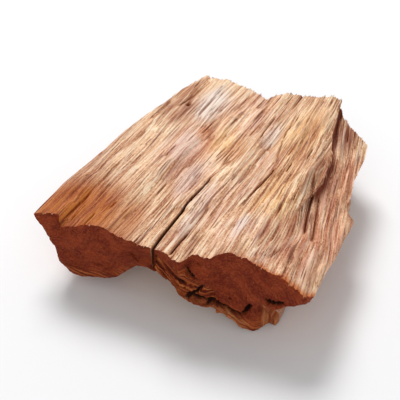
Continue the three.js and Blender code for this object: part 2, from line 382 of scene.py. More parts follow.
# %% The relief of a split face, and the clefts in it
PLATES = dict(count=70, widths=(5, 14), lengths=(30, 90), rises=(0.2, 0.7), taper=0.7, flatness=8)
STRIPS = dict(count=420, widths=(1.6, 4.5), lengths=(14, 60), rises=(0.1, 0.5), taper=0.6, flatness=6)
FIBRES = dict(count=2600, widths=(0.7, 1.6), lengths=(6, 30), rises=(0.05, 0.26), taper=0.6, flatness=3)
CLEFTS = dict(count=170, widths=(0.5, 0.8), lengths=(4, 16), rises=(0.3, 0.9), taper=0.5, flatness=2)
ROUGHNESS = 0.08


def split_relief(side, place, seed):
    plates, strips, fibres, clefts = (lay_strips(side, place, seed + layer, **kind)
                                      for layer, kind in enumerate((PLATES, STRIPS, FIBRES, CLEFTS)))
    rough = ROUGHNESS * pattern(side, place, width=0.5, length=6, seed=seed + 4)
    relief = plates + strips + fibres - clefts + rough
    return relief - relief.mean(), clefts


# %% [markdown]
# ## The ends
#
# The front end was cut across the fibres. It is dull and almost flat, a bit rough like broken biscuit.
# Along its lower part strips of fibres were pulled out. That left ragged hollows, a torn layered zone, a
# broken block at the right, and a sliver that hangs on at the bottom with a crevice above it. The back end
# was broken, so its fibres stick out unevenly.

# %% How a cut end crumbles
LUMPS = 0.22
GRIT = 0.1


def crumble(x, z):
    large = pattern(x, z, width=2.6, length=2.0, seed=11)
    small = pattern(x, z, width=1.2, length=0.9, seed=12)
    return LUMPS * (large + 0.5 * small) + GRIT * pattern(x, z, width=0.5, length=0.6, seed=13)


# %% Hollows in the front end: x, z, half length, half height, tilt in degrees, depth
END_HOLLOWS = [
    (10.8, 16.3, 3.6, 1, 45, 3), (15.6, 11.9, 2.8, 0.9, -38, 2.8), (22, 8.5, 3.4, 0.5, -23, 1.6),
    (28.6, 10.8, 4.6, 0.8, 60, 2.4), (38.4, 19.6, 4.2, 1.1, 14, 3), (9.6, 24.4, 2.6, 0.8, -35, 1.6),
    (6.4, 21.2, 2.6, 0.5, -30, 1.3), (4.2, 26.8, 1, 0.8, 0, 1.2), (12, 28.5, 1.8, 0.6, 20, 0.7),
    (22.5, 14.2, 1, 0.5, 10, 0.8), (49, 25.1, 0.9, 0.7, 0, 0.9), (-3.6, 27, 1, 1.2, 0, 0.8),
    (-27, 12, 5, 0.35, -8, 0.6), (-36, 8, 4, 0.4, -6, 0.7), (-24, 21, 5, 0.3, -14, 0.5),
    (-13, 22.5, 3, 0.5, -20, 0.9),
]
HOLLOW_RIM = (0.45, 1.15)
HOLLOW_RAGGED = 0.35
KEEPS_FROM_EDGE = (0.2, 1.6)


def hollows(x, z):
    ragged = HOLLOW_RAGGED * pattern(x, z, width=1.1, length=0.8, seed=71)
    depth = np.zeros(ragged.shape)
    for middle_x, middle_z, half_length, half_height, tilt, deep in END_HOLLOWS:
        turn = math.radians(tilt)
        run = (x - middle_x) * math.cos(turn) + (z - middle_z) * math.sin(turn)
        rise = (z - middle_z) * math.cos(turn) - (x - middle_x) * math.sin(turn)
        away = np.hypot(run / half_length, rise / half_height) + ragged
        depth = np.maximum(depth, deep * fade(away, *HOLLOW_RIM))
    return depth * smooth(z - z[:, :, :1], *KEEPS_FROM_EDGE)


# %% The hanging sliver and the crevice above it
SLIVER_TOP = [(2, 17.8), (5, 16.6), (9, 14.6), (13.7, 12.5), (17.5, 9.6), (19.4, 8.8), (24.8, 6.8),
              (31, 3.5)]
LIP_ACROSS = (2, 6, 26, 30)
LIP_EDGE = (-0.6, 0.2)
LIP_REACH = 1.5
CREVICE_ACROSS = (8, 12, 24, 28)
CREVICE_UP = (-0.1, 0.4, 0.6, 1.8)
CREVICE_DEPTH = 2.2


def sliver_lip(x, z):
    return LIP_REACH * window(x, *LIP_ACROSS) * fade(z - along(SLIVER_TOP, x), *LIP_EDGE)


def crevice(x, z):
    opened = window(z - along(SLIVER_TOP, x), *CREVICE_UP)
    uneven = 0.75 + 0.5 * pattern(x, z, width=2.4, length=math.inf, seed=72)
    return CREVICE_DEPTH * window(x, *CREVICE_ACROSS) * opened * uneven


# %% The torn zone of the front end, where strips of fibres were pulled out along the underside
TORN_EDGE = [(-8, 27), (-3.7, 27.5), (6, 26.6), (10.8, 24.6), (14.5, 20.6), (18.7, 12.4), (24.8, 8.8),
             (30, 6)]
TORN_EDGE_SOFT = (-0.6, 1.0)
TORN_ACROSS = (-7, -4, 24, 30)
TORN_DEPTH = 1.1
TORN_STRIPS = dict(count=500, widths=(0.7, 2.2), lengths=(5, 22), rises=(0.2, 1.5), taper=0.3, flatness=6)
LAYER_LINE = [(-52, 27.5), (-4.9, 20.5), (34, -2)]
BLOCK = {"left": 32.5, "top": 15, "soft": 1.5, "layers_start": 100}


def torn_share(x, z):
    return smooth(along(TORN_EDGE, x) - z, *TORN_EDGE_SOFT) * window(x, *TORN_ACROSS)


def block_share(x, z):
    below_top = fade(z, BLOCK["top"] - BLOCK["soft"], BLOCK["top"] + BLOCK["soft"])
    return smooth(x, BLOCK["left"], BLOCK["left"] + BLOCK["soft"]) * below_top


def end_layers(x, z):
    on_block = x > BLOCK["left"]
    across_layers = np.where(on_block, x + BLOCK["layers_start"], z - along(LAYER_LINE, x))
    return across_layers, np.where(on_block, z, x)


def torn_strips(x, z):
    return TORN_DEPTH - lay_strips(*end_layers(x, z), 81, **TORN_STRIPS)


# %% Waves of the ends (height, turns across, turns up), the chipped corner and the frayed edge
FRONT_WAVES = [(0.5, 0.22, 5), (0.4, 0.4, 11)]
BACK_WAVES = [(0.9, 0.3, 7), (0.6, 0.6, -9)]
CHIP_ACROSS = (34, 43)
CHIP_UP = (0.2, 0.62)
CHIP_DEPTH = 5.8
FRAY_UP = (0.93, 1)
FRAY_REACH = 0.5
UPPER_LINE_UP = (0.5, 0.8)
BLOCK_TORN = 0.5
BACK_LEAN = 2.5
BACK_CALM_UP = (0.8, 1)
BACK_CALM = 0.35


def waves(x, parts):
    return sum(height * np.sin(turn * x + rise * level) for height, turn, rise in parts) * (1 - level)


# %% Where the two ends lie
def front_end(plain_x, x, z):
    upper, lower = along(FRONT_END, plain_x), along(LOWER_FRONT_END, plain_x)
    line = between(lower, upper, smooth(level, *UPPER_LINE_UP))
    chip = CHIP_DEPTH * smooth(plain_x, *CHIP_ACROSS) * fade(level, *CHIP_UP)
    fray = np.maximum(0, pattern(x, z, width=0.8, length=math.inf, seed=13))
    frayed = FRAY_REACH * fray * smooth(level, *FRAY_UP)
    strips = torn_strips(x, z) * np.maximum(torn_share(x, z), BLOCK_TORN * block_share(x, z))
    return (line - sliver_lip(x, z) + chip + waves(x, FRONT_WAVES) + crumble(x, z) + strips + hollows(x, z)
            + crevice(x, z) + frayed)


def back_end(x, z):
    torn = (0.7 * pattern(x, z, width=1.3, length=1.6, seed=31)
            + 0.4 * pattern(x, z, width=0.6, length=4, seed=32))
    calm = between(1, BACK_CALM, smooth(level, *BACK_CALM_UP))
    return along(BACK_END, x) - BACK_LEAN * (1 - level) ** 2 + waves(x, BACK_WAVES) + torn * calm


# %% [markdown]
# ## Put the surface together
#
# First the plan, then the heights. Each height is the smooth profile of the two ends blended along the
# fibres, plus slivers and fibres, minus splits, ledge, pit and crack.

# %% Plan of every grid point
plain_front_x = across(np.full_like(share, FRONT_Y))
plain_back_x = across(np.full_like(share, BACK_Y))
front_x = plain_front_x + shift[:, :1]
back_x = plain_back_x + shift[:, -1:]
front_top = along(FRONT_CROWN, front_x[:, :, -1:])
front_bottom = along(FRONT_BELLY, front_x[:, :, :1])
back_top = along(BACK_CROWN, back_x[:, :, -1:])
back_bottom = along(BACK_BELLY, back_x[:, :, :1])
front_z = between(front_bottom, front_top, level)
back_z = between(back_bottom, back_top, level)
y = between(front_end(plain_front_x, front_x, front_z), back_end(plain_back_x, back_z), length_share)
x = across(y) + shift
print("plan in mm:", np.ptp(x).round(1), "by", np.ptp(y).round(1))

# %% Splits in the upper face: (y, x) pairs along the split, its width and its depth
SPLITS = [
    ([(-50, 1.9), (-44, 2.3), (-34, 2.9)], 0.9, 1.5),
    ([(-39, 2.6), (-30, 3.3), (-20, 3.7)], 0.5, 0.5),
    ([(-18, 13.1), (-11, 14.2), (-5, 15), (4, 15.9), (9, 15.6)], 0.8, 1.6),
    ([(9, 15.6), (14, 14), (26, 11.5), (43, 10.2)], 0.6, 0.7),
    ([(17, 4.8), (24, 3.7), (37, 4.2)], 0.6, 1),
    ([(0, -2), (6, -2.1), (14, -1.4)], 0.6, 1),
    ([(1, -1.2), (7, 0.4)], 0.6, 0.9),
    ([(-8, 7.2), (-4, 7.9), (-1, 8.2), (4, 8.6)], 0.7, 0.8),
    ([(22, -25.7), (31, -23.8), (38, -22.6)], 0.6, 0.7),
    ([(26, -32.2), (37, -28.7)], 1, 0.9),
    ([(-17, 37.6), (0, 32.6), (12, 29.6)], 1.3, 1.2),
    ([(-19, 41), (-13, 39.7), (-1, 35.9), (9, 32.6)], 1.2, 1.2),
    ([(-38, 33.2), (-34, 34.3), (-28, 35.2)], 0.7, 0.8),
    ([(-36, 28.3), (-30, 28.6), (-20, 28.2)], 0.6, 0.6),
]
OVERRUN = 0.5
DEEPENS = 3
RISES = 5
SPLIT_FLOOR = 0.3

top_x = x[:, :, -1]
top_y = y[:, :, -1]
splits = np.zeros_like(top_x)
for run, width, deep in SPLITS:
    start, end = run[0][0], run[-1][0]
    off_middle = np.abs(top_x - along(run, top_y)) / (width / 2)
    reach = window(top_y, start - OVERRUN, start + DEEPENS, end - RISES, end + OVERRUN)
    splits = np.maximum(splits, deep * reach * np.clip(1 + SPLIT_FLOOR - off_middle, 0, 1))
print("deepest split in mm:", splits.max().round(2))

# %% How far the flank lies below the crown
LEDGE_ROLL = {"reach": 5, "drop": 0.38, "fades": (12, 32), "fade": 0.7}
FLANK_SLOPE = 0.24
FLANK_SLOPES_FROM = (-30, -12)

flat_share = share[:, :, 0]
flat_group = group[:, :, 0]
flat_length = length_share[:, :, 0]
on_flank = np.where(flat_group == "ledge", flat_share, flat_group == "flank")
from_ledge = top_x - along(LEDGE_LINE, top_y)
ledge_drop = along(LEDGE_DROP, top_y)
flank_slope = FLANK_SLOPE * np.maximum(0, from_ledge) * smooth(top_y, *FLANK_SLOPES_FROM)
roll = np.where(on_flank > 0, 1, smooth(from_ledge, -LEDGE_ROLL["reach"], 0) ** 2)
roll_drop = LEDGE_ROLL["drop"] * ledge_drop * roll * (1 - on_flank)
flank_drop = on_flank * (ledge_drop + flank_slope)
flank_drop += roll_drop * (1 - LEDGE_ROLL["fade"] * smooth(top_y, *LEDGE_ROLL["fades"]))

# %% Heights of the upper face, with the knot pit
PIT = {"x": -29.1, "y": 29.3, "radius": 1.7, "depth": 1.1, "flat_share": 0.3}
SLIVER_SHARE = 0.6
SLIVERS_AT_FRONT = 0.4
FRONT_CALM_REACH = 0.15
LEAST_RELIEF = 0.7

from_pit = np.hypot(top_x - PIT["x"], top_y - PIT["y"]) / PIT["radius"]
pit = PIT["depth"] * fade(from_pit, PIT["flat_share"], 1)
end_calm = between(SLIVERS_AT_FRONT, 1, smooth(flat_length, 0, FRONT_CALM_REACH))
crown = between(front_top[:, :, 0], back_top[:, :, 0], smooth(flat_length, 0, CROWN_FADE))
top_side = grain_across(x[:, :, -1:], y[:, :, -1:])[:, :, 0]
top_relief, top_clefts = split_relief(top_side, top_y, 101)
top = (crown + SLIVER_SHARE * upper_slivers * end_calm + top_relief * between(LEAST_RELIEF, 1, end_calm)
       - splits - flank_drop - pit)

# %% Heights of the underside
UNDERSIDE_GRAIN_START = 500
EVEN_FRONT = (-0.02, 0.25)
RESTS_FLAT_BELOW = 3

belly = between(front_bottom[:, :, 0], back_bottom[:, :, 0], smooth(flat_length, 0, BELLY_FADE))
bottom_side = grain_across(x[:, :, :1], y[:, :, :1])[:, :, 0] + UNDERSIDE_GRAIN_START
bottom_relief, bottom_clefts = split_relief(bottom_side, y[:, :, 0], 201)
bottom = belly - ((lower_slivers + bottom_relief) * smooth(flat_length, *EVEN_FRONT)
                  * smooth(belly, 0, RESTS_FLAT_BELOW))
bottom = np.maximum(0, bottom)

# %% The crack, cut down from the upper face
LEAST_WEB = 1
CRACK_TIP_DEPTH = 5
CRACK_TIP_FADE = 4
CRACK_ROUNDNESS = 2.5

room = top - bottom - LEAST_WEB
reach = (np.minimum(between(CRACK_TIP_DEPTH, room, crack_opening(top_y)), room)
         * fade(top_y, CRACK_TIP_Y, CRACK_TIP_Y + CRACK_TIP_FADE))
crack_shape = np.where(flat_group == "crack", 1 - np.abs(2 * flat_share - 1) ** CRACK_ROUNDNESS, 0)
crack_depth = np.maximum(0, reach) * crack_shape
top = top - crack_depth
z = between(bottom[:, :, None], top[:, :, None], level)
print("heights in mm:", z.min().round(2), "to", z.max().round(2))

# %% Fine ridges on the two sides
SIDE_FIBRES = 0.7
SIDE_GRAIN_SCALE = 1.2
LEFT_GRAIN_START = 1000
RIGHT_GRAIN_START = 1500
CALM_NEAR_TOP = 4
CALM_NEAR_BOTTOM = 6

left_relief, _ = split_relief(z[0] * SIDE_GRAIN_SCALE + LEFT_GRAIN_START, y[0], 301)
right_relief, _ = split_relief(z[-1] * SIDE_GRAIN_SCALE + RIGHT_GRAIN_START, y[-1], 401)
off_edges = np.minimum(1, CALM_NEAR_TOP * (1 - level[0])) * np.minimum(1, CALM_NEAR_BOTTOM * level[0])
x[0] -= left_relief * (off_edges * SIDE_FIBRES)
x[-1] += right_relief * (off_edges * SIDE_FIBRES)

# %% [markdown]
# ## The mesh
#
# The grid points on the six faces become a closed mesh. It is fitted to the solid's box, so the dressed
# chunk and the solid have one size. Each point also stores its grain coordinates, how high it stands among
# its neighbours, and how deep it lies in a crack or split. The material reads these, and paints light and
# shade by the height and shade by the depth.

# %% Number the points of the skin
FACES = [(axis, end) for axis in range(3) for end in (0, -1)]
ALONG_FIBRES = 1

shape = x.shape
skin = np.zeros(shape, bool)
for axis, end in FACES:
    skin[tuple(end if a == axis else slice(None) for a in range(3))] = True
number = np.full(shape, -1)
number[skin] = np.arange(skin.sum())


def face_quads(axis, end):
    grid = np.moveaxis(number, (axis, (axis + 1) % 3, (axis + 2) % 3), (0, 1, 2))[end]
    quads = np.stack((grid[:-1, :-1], grid[1:, :-1], grid[1:, 1:], grid[:-1, 1:]), axis=-1).reshape(-1, 4)
    return quads if end else quads[:, ::-1]


quads = [face_quads(axis, end) for axis, end in FACES]
is_cut = np.concatenate([np.full(len(part), axis == ALONG_FIBRES) for part, (axis, _) in zip(quads, FACES)])
print("quads:", len(is_cut))

# %% Build the mesh and fit it to the solid's box
SHARP_ANGLE = math.radians(50)

points = np.stack((x[skin], y[skin], z[skin]), axis=-1)
low, high = points.min(axis=0), points.max(axis=0)


def to_frame(places):
    return chunk_low + (places - low) / (high - low) * (chunk_high - chunk_low)


mesh = bpy.data.meshes.new("kino_wood")
mesh.from_pydata(to_frame(points).tolist(), [], np.concatenate(quads).tolist())
mesh.polygons.foreach_set("material_index", is_cut.astype(np.int32))
mesh.shade_smooth()
mesh.set_sharp_from_angle(angle=SHARP_ANGLE)
chunk = add_object("kino_wood", mesh)
print("scale against the solid:", ((chunk_high - chunk_low) / MM / (high - low)).round(3))

# %% Relief, grain and depth of each point
GRAIN_HEIGHT = 30
GRAIN_PER_RELIEF = 0.6
PIT_PAINTED_SHADE = 1.6
SHADE_BETWEEN_STRIPS = 0.5

full_relief = np.zeros(shape)
full_relief[:, :, -1] = top_relief - splits
full_relief[:, :, 0] = bottom_relief
full_relief[0] = np.where(off_edges > 0.5, left_relief, full_relief[0])
full_relief[-1] = np.where(off_edges > 0.5, right_relief, full_relief[-1])
grain = np.stack((grain_across(x, y), y, level * GRAIN_HEIGHT + GRAIN_PER_RELIEF * full_relief), axis=-1)
torn_end = torn_share(front_x, front_z)
between_strips = np.maximum(0, torn_strips(front_x, front_z)) * torn_end
# The depth also paints shade: cracks, splits, clefts, the pit, the hollows, the crevice and the gaps between
# torn strips are drawn darker by it
depth = np.zeros(shape)
depth[:, :, -1] = crack_depth + top_clefts + splits + PIT_PAINTED_SHADE * pit
depth[:, :, 0] = bottom_clefts
depth[:, :1] = (np.maximum(hollows(front_x, front_z), crevice(front_x, front_z))
                + SHADE_BETWEEN_STRIPS * between_strips)
print("relief in mm:", full_relief.min().round(2), full_relief.max().round(2))

# %% Where the ends are torn to orange strips, and where slivers were pulled out
FRINGE_UP = (0.05, 0.22)
FRINGE_STRENGTH = 0.75
SPOTS = (-0.3, 0.5)
SPOTS_ACROSS = (-50, -42)
SPOTS_STRENGTH = 0.6
PULLED_ACROSS = (3, 7, 27, 31)
PULLED_EDGE = (-0.4, 0.3)
BACK_TORN = 0.45
BLOCK_PULLED = 0.8

fringe = FRINGE_STRENGTH * fade(level, *FRINGE_UP)
left_spots = smooth(pattern(front_x, front_z, width=1.5, length=1.5, seed=91), *SPOTS)
left_rim = SPOTS_STRENGTH * fade(front_x, *SPOTS_ACROSS) * left_spots
torn = np.zeros(shape)
torn[:, :1] = np.maximum(np.maximum(torn_end, fringe), left_rim)
torn[:, -1] = BACK_TORN
pulled = np.zeros(shape)
pulled[:, :1] = fade(front_z - along(SLIVER_TOP, front_x), *PULLED_EDGE)
pulled[:, :1] *= window(front_x, *PULLED_ACROSS)
pulled[:, :1] += BLOCK_PULLED * block_share(front_x, front_z)

# %% The crumbled rim at the front, wider and stronger to the right, and painted shade in its holes
RIM_STARTS = 0.2
RIM_WIDTHS = (1.9, 4.2)
RIM_WIDENS = (32, 44)
RIM_RAGGED = 1.7
RIM_STRENGTHS = (0.35, 1)
RIM_STRENGTHENS = (22, 34)
RIM_HOLES = (0.45, 0.65)
RIM_HOLES_START = (26, 36)

rim_width = between(*RIM_WIDTHS, smooth(top_x, *RIM_WIDENS))
rim_width += RIM_RAGGED * pattern(top_x, top_y, width=1.1, length=6, seed=92)
rim = np.zeros(shape)
rim[:, :, -1] = fade(top_y - top_y[:, :1], RIM_STARTS, rim_width)
rim[:, :, -1] *= between(*RIM_STRENGTHS, smooth(top_x, *RIM_STRENGTHENS))
rim_holes = smooth(pattern(top_x, top_y, width=0.9, length=0.9, seed=93), *RIM_HOLES)
# Painted shade in the holes of the rim, through the depth
depth[:, :, -1] += rim[:, :, -1] * (rim_holes * smooth(top_x, *RIM_HOLES_START))

# %% Painted shade in the corner under the ledge
CORNER_STARTS = -0.3
CORNER_WIDTH = (0.3, 2.4)
CORNER_DARKENS = (-6, 8)

in_corner = (from_ledge > CORNER_STARTS) & (flat_group != "middle")
shade = np.zeros(shape)
shade[:, :, -1] = in_corner * fade(from_ledge, *CORNER_WIDTH) * smooth(top_y, *CORNER_DARKENS)


# %% Store what the material needs to know
def store(target, name, values):
    is_vector = values.ndim == 2
    attribute = target.attributes.new(name, "FLOAT_VECTOR" if is_vector else "FLOAT", "POINT")
    attribute.data.foreach_set("vector" if is_vector else "value", values.ravel())


known = {"grain": grain, "height": full_relief, "depth": depth, "torn": torn, "pulled": pulled, "rim": rim,
         "shade": shade, "layers": np.stack((*end_layers(x, z), np.zeros(shape)), axis=-1)}
for name, values in known.items():
    store(mesh, name, values[skin])
print("stored:", ", ".join(known))

# %% [markdown]
# ## Colours of the wood
#
# The colours of a split face change from fibre to fibre: cream crests, pinkish tan backs, brown valleys
# and tiny dark pores; on top of that, higher fibres get painted light and lower ones painted shade. Slow
# changes lie over that: painted sheen highlights, with whitish hair at the back of the flank, and pink,
# golden and amber patches on both sides of the crack, cream wood towards the back and on the right edge,
# with painted light on the right front rim, tan wood and painted shade along the ledge and the front,
# brown wood on the left edge and at the back left corner, painted shade at the back right corner, redder
# wood on the flank and orange wood on the left lobe. The patches are soft spots on the surface, written as
# a place, a size across and along the fibres, and a strength.

# %% Soft colour patches: x, y, half width, half length, strength
PATCHES = {
    # Painted sheen highlights on the crests, and whitish hair at the back of the flank
    "sheen_and_white_hair": [(-20.5, 31.5, 6.6, 12, 1), (-18.5, 6, 5, 11, 0.65), (-9.5, -11, 4, 10, 0.65),
               (0.8, -33, 3, 10, 0.7), (-0.5, -17, 4, 8, 0.4), (7.6, 23, 2.8, 8, 0.9),
               (19, -28, 2.4, 8, 0.9), (29, 38, 3, 8, 0.35), (44.8, -28, 1.4, 8, 0.35)],
    "pink": [(13, 9, 5, 10, 0.8), (11, -5, 5, 10, 0.9), (16, -33, 7, 10, 0.8), (25, -27, 5, 9, 0.8),
             (-17, 4, 11, 20, 0.9), (-5, 32, 11, 16, 0.8), (-8, -10, 7, 16, 0.7), (5, -20, 7, 14, 0.7),
             (33, -32, 7, 14, 0.6)],
    "gold": [(18, 28, 8, 20, 0.8), (20, -2, 6, 20, 0.9), (-8, 14, 5, 10, 0.8), (26, -8, 5, 12, 0.7)],
    "amber": [(-15.4, 15, 3.5, 5, 0.7), (-1, 9, 4, 9, 0.7), (-11, 9, 2, 9, 0.4)],
    # Cream wood towards the back and on the right edge; the patch on the right front rim is painted light on
    # a slope turned from the lamp
    "cream_and_painted_light": [(14, 32, 5, 12, 0.9), (20, 42, 5, 8, 0.5), (50, -34, 4, 16, 1), (48, 0, 3, 5, 0.8)],
    # Painted shade on the rolled margin of the ledge, along the front, on the right front slope and at the
    # back of the flank, with tan wood at the back left
    "tan_and_painted_shade": [(32.5, -18, 3.6, 13, 1), (30.5, 11, 3, 15, 0.9), (36, -31, 6, 9, 0.5), (3, -41, 9, 7, 0.8),
            (23, -42, 12, 6, 0.5), (30, 41, 5, 14, 1), (-30, 26, 7, 12, 0.6), (28, -24, 5, 9, 0.5)],
    "red": [(44, -6, 9, 44, 0.9), (37, 14, 6, 26, 0.8), (37, -6, 3, 12, 1)],
    # Brown wood on the left edge and at the back left corner, and painted shade at the back of the flank
    "brown_and_painted_shade": [(-32, 37, 5, 9, 0.9), (29, 42, 5, 9, 1), (-44, -2, 8, 30, 0.4), (-31, 25, 6, 12, 0.75)],
    "orange": [(-38, -42, 22, 24, 1), (-20, -40, 7, 16, 0.8)],
}
PATCH_EDGE = (0.45, 1.25)


def patch_strength(patches):
    strength = np.zeros(len(points))
    for centre_x, centre_y, half_width, half_length, amount in patches:
        away = np.hypot((points[:, 0] - centre_x) / half_width, (points[:, 1] - centre_y) / half_length)
        strength = np.maximum(strength, amount * fade(away, *PATCH_EDGE))
    return strength


for name, patches in PATCHES.items():
    store(mesh, name, patch_strength(patches))
print("colour patches:", sum(len(patches) for patches in PATCHES.values()))

# %% [markdown]
# ## Two finishes
#
# A material in Blender is a small network of steps. Both finishes start from the stored grain coordinates,
# so their patterns follow the fibres round every corner. Noise that is stretched along the fibres gives
# streaks. The same noise, unstretched across the ends, gives the dull speckle of cut wood.

# %% Helpers for building a network
def join(tree, source, target):
    if isinstance(source, bpy.types.NodeSocket):
        tree.links.new(source, target)
    else:
        target.default_value = source


def add_node(tree, kind, sockets, **settings):
    node = tree.nodes.new(kind)
    for name, value in settings.items():
        setattr(node, name, value)
    for socket, source in sockets.items():
        join(tree, source, node.inputs[socket])
    return node.outputs


def channel(value):
    share = value / 255
    return share / 12.92 if share <= 0.04045 else ((share + 0.055) / 1.055) ** 2.4


def colour(red, green, blue):
    return channel(red), channel(green), channel(blue), 1


# %% A material's network, with short names for the steps that repeat
MIX_FIRST = 6
MIX_SECOND = 7
MIX_RESULT = 2


class Finish:
    def __init__(self, name):
        self.material = bpy.data.materials.new(name)
        self.material.use_nodes = True
        self.tree = self.material.node_tree
        self.shader = self.tree.nodes["Principled BSDF"]

    def give(self, name, source):
        join(self.tree, source, self.shader.inputs[name])

    def stored(self, name, output="Fac"):
        return add_node(self.tree, "ShaderNodeAttribute", {}, attribute_name=name)[output]

    def grain(self, width, length, shift, place):
        sockets = {0: self.stored(place, "Vector"), 1: (1 / width, 1 / length, 1 / width), 2: (shift,) * 3}
        return add_node(self.tree, "ShaderNodeVectorMath", sockets, operation="MULTIPLY_ADD")[0]

    def noise(self, width, length, detail=1.0, shift=0.0, place="grain"):
        sockets = {"Vector": self.grain(width, length, shift, place), "Scale": 1.0, "Detail": detail}
        return add_node(self.tree, "ShaderNodeTexNoise", sockets)["Fac"]

    def dashes(self, width, length, size, shift=0.0):
        sockets = {"Vector": self.grain(width, length, shift, "grain"), "Scale": 1.0}
        away = add_node(self.tree, "ShaderNodeTexVoronoi", sockets)["Distance"]
        return self.remap(away, size, size * 0.7)

    def remap(self, source, low, high, to_low=0.0, to_high=1.0):
        sockets = {0: source, 1: low, 2: high, 3: to_low, 4: to_high}
        return add_node(self.tree, "ShaderNodeMapRange", sockets, interpolation_type="SMOOTHSTEP")[0]

    def times(self, product, *factors):
        for factor in factors:
            product = add_node(self.tree, "ShaderNodeMath", {0: product, 1: factor}, operation="MULTIPLY")[0]
        return product

    def weigh(self, *parts):
        total = 0.0
        for source, weight in parts:
            sockets = {0: source, 1: weight, 2: total}
            total = add_node(self.tree, "ShaderNodeMath", sockets, operation="MULTIPLY_ADD")[0]
        return total

    def ramp(self, source, tones):
        node = self.tree.nodes.new("ShaderNodeValToRGB")
        join(self.tree, source, node.inputs[0])
        places = node.color_ramp.elements
        while len(places) < len(tones):
            places.new(0.5)
        for place, (position, tone) in zip(places, tones.items()):
            place.position = position
            place.color = colour(*tone)
        return node.outputs[0]

    def mix(self, amount, first, second, blend="MIX"):
        sockets = {0: amount, MIX_FIRST: first, MIX_SECOND: second}
        return add_node(self.tree, "ShaderNodeMix", sockets, data_type="RGBA", blend_type=blend)[MIX_RESULT]

    def bump(self, height, distance, strength, below=None):
        sockets = {"Height": height, "Distance": distance, "Strength": strength}
        if below:
            sockets["Normal"] = below
        return add_node(self.tree, "ShaderNodeBump", sockets)[0]


# %% Split faces: fibres from brown to cream
FIBRE_TONES = {0.37: (138, 82, 56), 0.44: (185, 130, 97), 0.5: (211, 164, 127), 0.55: (228, 188, 149),
               0.63: (247, 222, 190)}

split = Finish("split heartwood")
bands = split.noise(3.2, 45)
strips = split.noise(0.85, 24, shift=10)
threads = split.noise(0.4, 9, detail=0.0, shift=20)
grit = split.noise(0.4, 0.9, shift=25)
# Higher fibres are painted lighter and lower ones darker: painted light and shade on the relief
relief_light_and_shade = split.remap(split.stored("height"), -1.0, 1.0)
fibre = split.weigh((bands, 0.16), (strips, 0.24), (threads, 0.26), (grit, 0.26), (relief_light_and_shade, 0.12))
wood = split.ramp(fibre, FIBRE_TONES)

# %% Pale fibres, cream wood with painted light, painted sheen highlights on the crests, and crisp dark gaps, in places close together
PALE_FIBRE = colour(250, 229, 203)
CREAM_AND_LIGHT_TONE = colour(252, 218, 180)
SHEEN_TONE = colour(232, 215, 202)
GAP_BROWN = colour(132, 76, 52)
LONG_LINE_BROWN = colour(112, 58, 38)
SHORT_LINE_BROWN = colour(116, 62, 42)

busy = split.remap(split.noise(5, 22, shift=30), 0.4, 0.6, 0.3, 1.0)
dark_gaps = split.remap(split.noise(0.5, 20, detail=0.0, shift=70), 0.42, 0.34)
pale_fibres = split.remap(split.noise(0.55, 17, detail=0.0, shift=80), 0.59, 0.67)
long_lines = split.dashes(1.5, 22, size=0.16, shift=40)
short_lines = split.dashes(0.9, 5, size=0.18, shift=50)
sheen = split.remap(fibre, 0.42, 0.56, 0.25, 0.95)
for amount, tone in (
    (split.times(pale_fibres, 0.5), PALE_FIBRE),
    (split.times(split.stored("cream_and_painted_light"), 0.55), CREAM_AND_LIGHT_TONE),
    (split.times(split.stored("sheen_and_white_hair"), sheen), SHEEN_TONE),
    (split.times(dark_gaps, busy, 0.65), GAP_BROWN),
    (split.times(long_lines, busy, 0.8), LONG_LINE_BROWN),
    (split.times(short_lines, busy, 0.7), SHORT_LINE_BROWN),
):
    wood = split.mix(amount, wood, tone)

# %% Tints of the wood and painted shade, each multiplied in where its patches lie, some stronger on some fibres than on others
STREAKY_TINTS = {"gold": (252, 234, 198), "pink": (240, 222, 228), "amber": (238, 190, 134),
                 "tan_and_painted_shade": (200, 160, 143), "red": (226, 183, 174), "brown_and_painted_shade": (192, 150, 130)}
# The shade tint is painted shade in the corner under the ledge
EVEN_TINTS = {"orange": (194, 130, 64), "rim": (218, 148, 90), "shade": (168, 104, 74)}

uneven = split.remap(split.noise(1.1, 18, shift=90), 0.36, 0.6, 0.3, 1.0)
for name, tint in STREAKY_TINTS.items():
    wood = split.mix(split.times(split.stored(name), uneven), wood, colour(*tint), "MULTIPLY")
for name, tint in EVEN_TINTS.items():
    wood = split.mix(split.stored(name), wood, colour(*tint), "MULTIPLY")

# %% Painted shade in splits, cracks, clefts, holes and the pit, which don't shine
CRACK_PAINTED_SHADE = colour(98, 38, 18)

wood = split.mix(split.remap(split.stored("depth"), 0.25, 1.6, 0, 0.92), wood, CRACK_PAINTED_SHADE)
split.give("Specular IOR Level", split.remap(split.stored("depth"), 0.1, 0.8, 0.3, 0))

# %% Gloss and the feel of the fibres
strip_bump = split.bump(strips, 0.6 * MM, 0.4)
thread_bump = split.bump(threads, 0.3 * MM, 0.6, strip_bump)
gap_bump = split.bump(split.remap(dark_gaps, 0, 1, 1, 0), 0.25 * MM, 0.5, thread_bump)
split.give("Base Color", wood)
split.give("Roughness", split.remap(threads, 0.3, 0.7, 0.75, 0.55))
split.give("Normal", split.bump(grit, 0.2 * MM, 0.7, gap_bump))
print("steps in the split finish:", len(split.tree.nodes))

# %% Cut ends: dull dark red, with speckle and faint layers
CUT_DARK = colour(112, 35, 18)
CUT_RED = colour(146, 58, 29)
SHEET_RED = colour(98, 30, 17)
SPECK_TAN = colour(164, 80, 43)
PORE_BROWN = colour(66, 20, 12)
CONTRAST = (0.36, 0.64)

